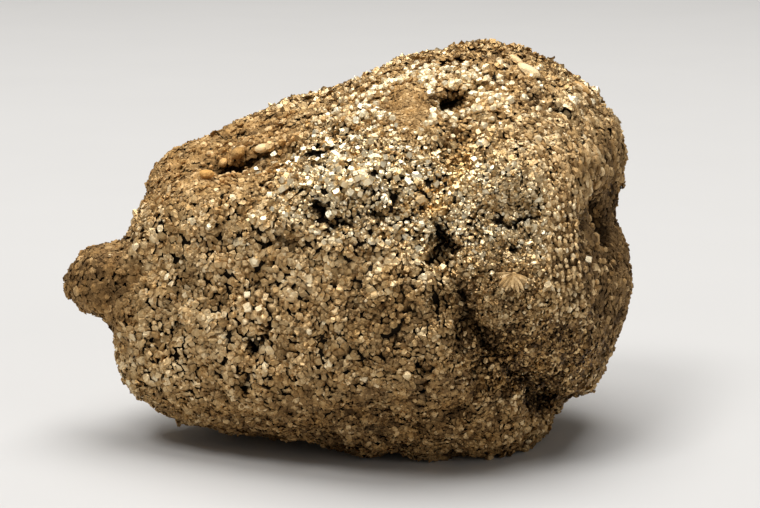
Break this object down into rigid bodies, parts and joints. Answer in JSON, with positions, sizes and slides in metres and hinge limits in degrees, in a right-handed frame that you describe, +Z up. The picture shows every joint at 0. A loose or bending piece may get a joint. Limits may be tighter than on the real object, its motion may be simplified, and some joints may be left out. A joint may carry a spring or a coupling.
{
  "type": "pyrite specimen",
  "caption": "Loose lump of massive granular pyrite with broken faces, pits and small fused crystals, standing on a flat broken patch.",
  "frame": {"origin": "a point near the middle of the flat broken patch that the lump stands on, below its centre of mass", "axes": "+Z up; +X to the right along the lump's longest side, away from the small knob; +Y towards its back, so that the granular front faces -Y"},
  "size_m": [0.0676, 0.0471, 0.0461],
  "materials": {
    "pyrite": "metallic granular crystals, brass-yellow where fresh and brown where tarnished"
  },
  "bodies": {
    "root": {"pyrite_lump": "pyrite"}
  },
  "joints": []
}
